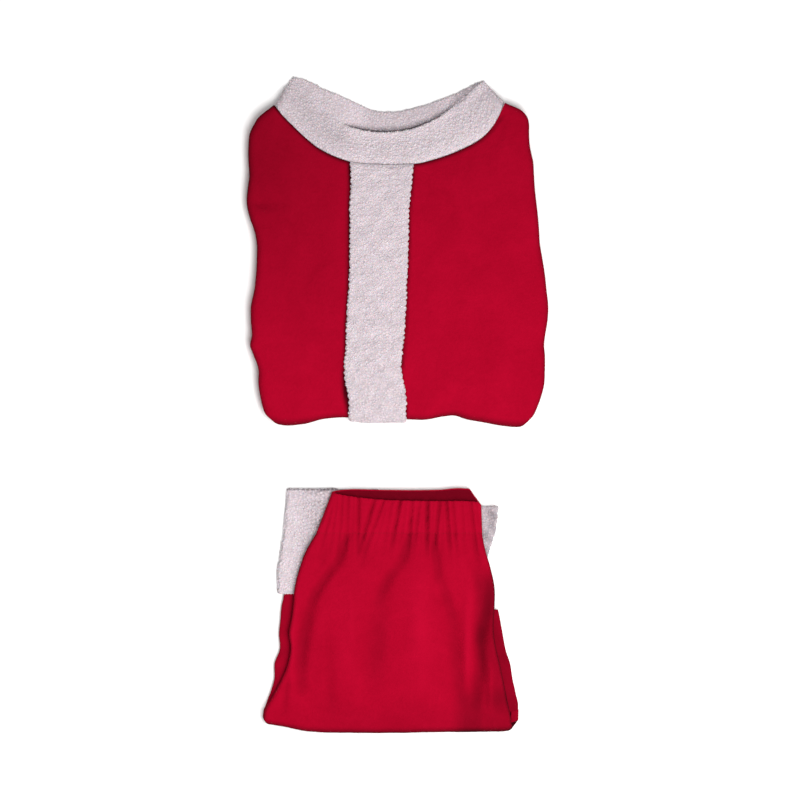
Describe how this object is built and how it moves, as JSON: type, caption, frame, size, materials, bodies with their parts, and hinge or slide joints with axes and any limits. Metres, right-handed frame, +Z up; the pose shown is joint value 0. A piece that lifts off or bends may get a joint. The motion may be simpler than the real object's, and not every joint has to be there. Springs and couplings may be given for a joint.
{
  "type": "folded santa suit",
  "caption": "Child's red fleece santa suit with white curly trim: a pullover and elastic-waist trousers, each folded flat and laid one above the other.",
  "frame": {"origin": "centre of the bounding box at the surface that the folded clothes lie on", "axes": "+Z up from the surface; +Y from the trousers towards the pullover's collar; +X to the right of someone looking down with the collar at the top"},
  "size_m": [0.3615, 0.7884, 0.0301],
  "materials": {
    "pullover_front": "brushed red polyester fleece, matt with a soft sheen",
    "pullover_folded_layers": "brushed red polyester fleece, matt with a soft sheen",
    "trousers_front": "brushed red polyester fleece, matt with a soft sheen",
    "trousers_folded_layers": "brushed red polyester fleece, matt with a soft sheen",
    "trousers_waistband": "brushed red polyester fleece, matt with a soft sheen",
    "left_leg_folded": "brushed red polyester fleece, matt with a soft sheen",
    "right_leg_folded": "brushed red polyester fleece, matt with a soft sheen",
    "pullover_front_band": "white curly sherpa pile, matt",
    "pullover_collar": "white curly sherpa pile, matt",
    "left_cuff": "white curly sherpa pile, matt",
    "right_cuff": "white curly sherpa pile, matt"
  },
  "bodies": {
    "root": {"pullover_front": "pullover_front", "pullover_folded_layers": "pullover_folded_layers", "trousers_front": "trousers_front", "trousers_folded_layers": "trousers_folded_layers", "trousers_waistband": "trousers_waistband", "left_leg_folded": "left_leg_folded", "right_leg_folded": "right_leg_folded", "pullover_front_band": "pullover_front_band", "pullover_collar": "pullover_collar", "left_cuff": "left_cuff", "right_cuff": "right_cuff"}
  },
  "joints": []
}
